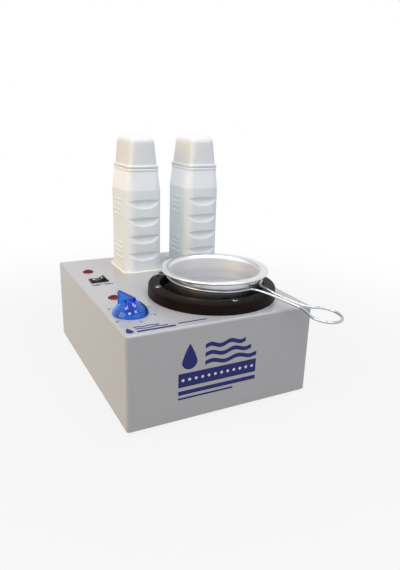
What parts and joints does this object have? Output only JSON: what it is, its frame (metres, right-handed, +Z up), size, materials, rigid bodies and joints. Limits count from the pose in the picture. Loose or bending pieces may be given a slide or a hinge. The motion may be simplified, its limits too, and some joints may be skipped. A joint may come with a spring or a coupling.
{
  "type": "roll on wax heater",
  "caption": "Tabletop heater for depilatory wax: folded steel case with docked roll-on handpieces, a heated well with a lift-out pot on a wire handle, a thermostat knob, a switch and lamps",
  "frame": {"origin": "middle of the case's footprint, on the table plane that the four feet's undersides lie in", "axes": "X from left to right along the front, Y from front to back, Z up"},
  "size_m": [0.2142, 0.3259, 0.2703],
  "materials": {
    "grey_enamel": "smooth grey stove enamel, slightly glossy",
    "zinc_steel": "zinc-plated steel",
    "chromed_screws": "bright chrome plate",
    "black_rubber": "moulded black rubber",
    "black_plastic": "black heat-proof moulding, fine grain",
    "aluminium": "spun aluminium, fine turning lines",
    "heater_steel": "heat-tinted steel over mica",
    "glass_fibre": "pressed glass-fibre felt",
    "bright_wire": "drawn stainless wire, polished",
    "copper_tube": "drawn copper",
    "blue_acrylic": "clear deep-blue acrylic, polished",
    "brass": "plain brass",
    "nickel_pins": "nickel-plated brass",
    "red_lens": "clear dark red lens",
    "cream_plastic": "cream moulding",
    "white_plastic": "white moulding, satin gloss",
    "clear_plastic": "natural polypropylene",
    "frosted_plastic": "frosted see-through polypropylene",
    "cable_sleeve": "silicone-sleeved wire"
  },
  "bodies": {
    "case": {"case_cover": "grey_enamel", "base_plate": "zinc_steel", "base_screws": "zinc_steel", "rubber_feet": "black_rubber", "foot_screws": "zinc_steel", "foot_nuts": "zinc_steel", "heat_shield": "zinc_steel", "shield_rivets": "zinc_steel", "well_ring": "black_plastic", "ring_screws": "chromed_screws", "ring_nuts": "zinc_steel", "heating_well": "aluminium", "band_heater": "heater_steel", "band_bolt": "zinc_steel", "well_insulation": "glass_fibre", "thermal_cutout": "black_plastic", "cutout_screws": "zinc_steel", "thermostat_body": "black_plastic", "thermostat_screws": "zinc_steel", "thermostat_bulb": "copper_tube", "switch_body": "black_plastic", "switch_terminals": "brass", "power_lamp": "red_lens", "heat_lamp": "red_lens", "lamp_clips": "zinc_steel", "dock_left": "cream_plastic", "dock_right": "cream_plastic", "dock_contacts": "brass", "mains_inlet": "black_plastic", "inlet_pins": "nickel_pins", "inlet_screws": "zinc_steel", "terminal_block": "white_plastic", "terminal_screws": "zinc_steel", "earth_stud": "brass", "wiring": "cable_sleeve"},
    "knob": {"knob": "blue_acrylic", "thermostat_shaft": "zinc_steel"},
    "rocker": {"switch_rocker": "black_plastic"},
    "pot": {"wax_pot": "aluminium"},
    "handle": {"pot_handle": "bright_wire"},
    "handpiece_left": {"housing_left": "white_plastic", "handpiece_base_left": "white_plastic", "heater_plate_left": "aluminium"},
    "cartridge_left": {"cartridge_left": "clear_plastic", "roller_head_left": "white_plastic"},
    "roller_left": {"roller_left": "cream_plastic"},
    "cap_left": {"cap_left": "frosted_plastic"},
    "handpiece_right": {"housing_right": "white_plastic", "handpiece_base_right": "white_plastic", "heater_plate_right": "aluminium"},
    "cartridge_right": {"cartridge_right": "clear_plastic", "roller_head_right": "white_plastic"},
    "roller_right": {"roller_right": "cream_plastic"},
    "cap_right": {"cap_right": "frosted_plastic"}
  },
  "joints": [
    {"name": "thermostat_turn", "type": "hinge", "parent": "case", "child": "knob", "pos_m": [-0.081, -0.079, 0.105], "axis": [0, 0, 1], "range_deg": [-270, 0]},
    {"name": "power_rocker", "type": "hinge", "parent": "case", "child": "rocker", "pos_m": [-0.08, 0.0355, 0.103], "axis": [0, 1, 0], "range_deg": [0, 18]},
    {"name": "pot_lift", "type": "slide", "parent": "case", "child": "pot", "axis": [0, 0, 1], "range_m": [0, 0.14]},
    {"name": "handle_swing", "type": "hinge", "parent": "pot", "child": "handle", "pos_m": [0.0267, -0.0547, 0.105], "axis": [0, 0, 1], "range_deg": [-75, 90]},
    {"name": "handpiece_lift_left", "type": "slide", "parent": "case", "child": "handpiece_left", "axis": [0, 0, 1], "range_m": [0, 0.06]},
    {"name": "cartridge_lift_left", "type": "slide", "parent": "handpiece_left", "child": "cartridge_left", "axis": [0, 0, 1], "range_m": [0, 0.15]},
    {"name": "roller_turn_left", "type": "hinge", "parent": "cartridge_left", "child": "roller_left", "pos_m": [-0.016, 0.079, 0.245], "axis": [0, 1, 0], "continuous": true},
    {"name": "cap_lift_left", "type": "slide", "parent": "cartridge_left", "child": "cap_left", "axis": [0, 0, 1], "range_m": [0, 0.06]},
    {"name": "handpiece_lift_right", "type": "slide", "parent": "case", "child": "handpiece_right", "axis": [0, 0, 1], "range_m": [0, 0.06]},
    {"name": "cartridge_lift_right", "type": "slide", "parent": "handpiece_right", "child": "cartridge_right", "axis": [0, 0, 1], "range_m": [0, 0.15]},
    {"name": "roller_turn_right", "type": "hinge", "parent": "cartridge_right", "child": "roller_right", "pos_m": [0.064, 0.079, 0.245], "axis": [0, 1, 0], "continuous": true},
    {"name": "cap_lift_right", "type": "slide", "parent": "cartridge_right", "child": "cap_right", "axis": [0, 0, 1], "range_m": [0, 0.06]}
  ]
}
